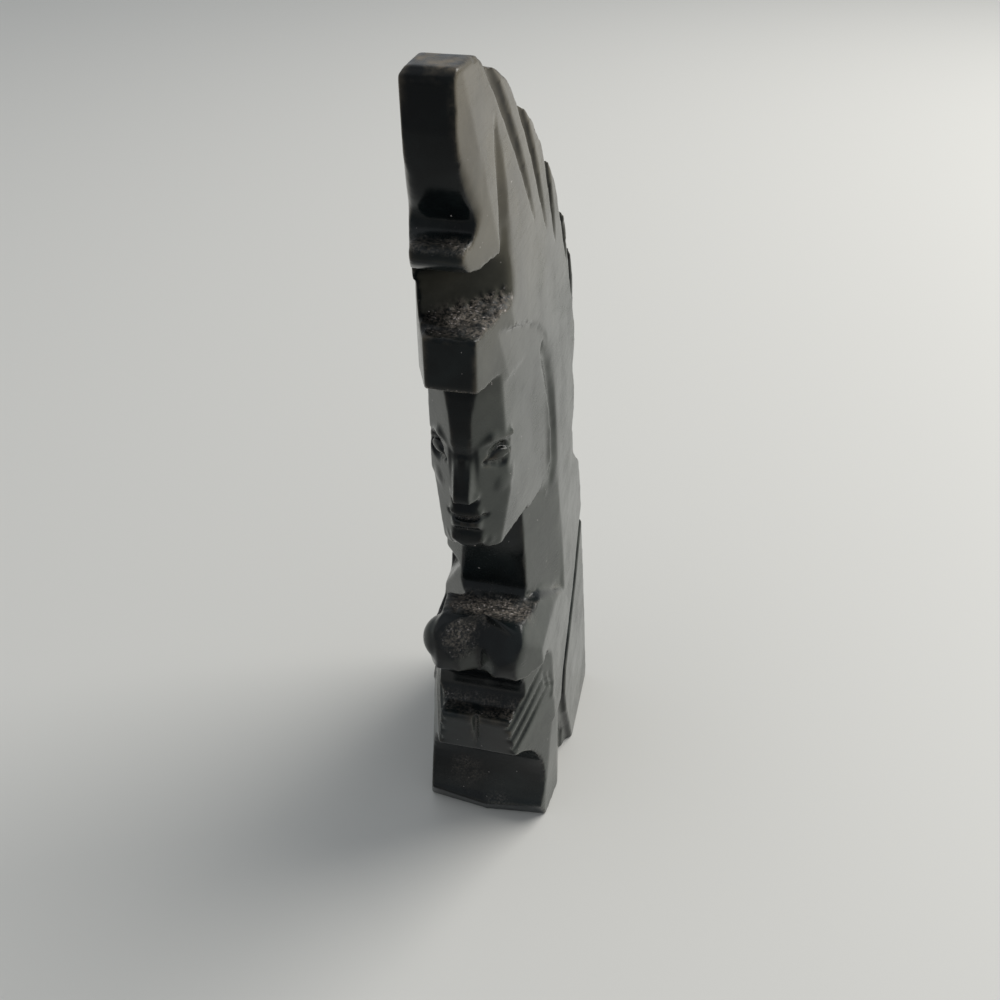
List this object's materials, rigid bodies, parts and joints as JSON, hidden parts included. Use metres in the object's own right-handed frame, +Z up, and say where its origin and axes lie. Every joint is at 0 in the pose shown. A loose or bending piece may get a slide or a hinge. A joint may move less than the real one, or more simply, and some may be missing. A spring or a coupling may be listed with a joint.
{
  "type": "obsidian head carving",
  "caption": "Standing slab of carved obsidian: a calm head under a tall feathered headdress with a forward crest, over clasped hands and a plain base.",
  "frame": {"origin": "on the floor under the middle of the carving's box: halfway between its two broad sides, and halfway between the crest's front and the slab's rear face", "axes": "+Z up. The carving faces -Y, and the slab is thin along X, with +X to the right of a viewer who stands in front of it."},
  "size_m": [0.0384, 0.089, 0.204],
  "materials": {
    "obsidian": "ground and rubbed volcanic glass, satin, with pale grinding powder left in the hollows"
  },
  "bodies": {
    "root": {"head_carving": "obsidian"}
  },
  "joints": []
}
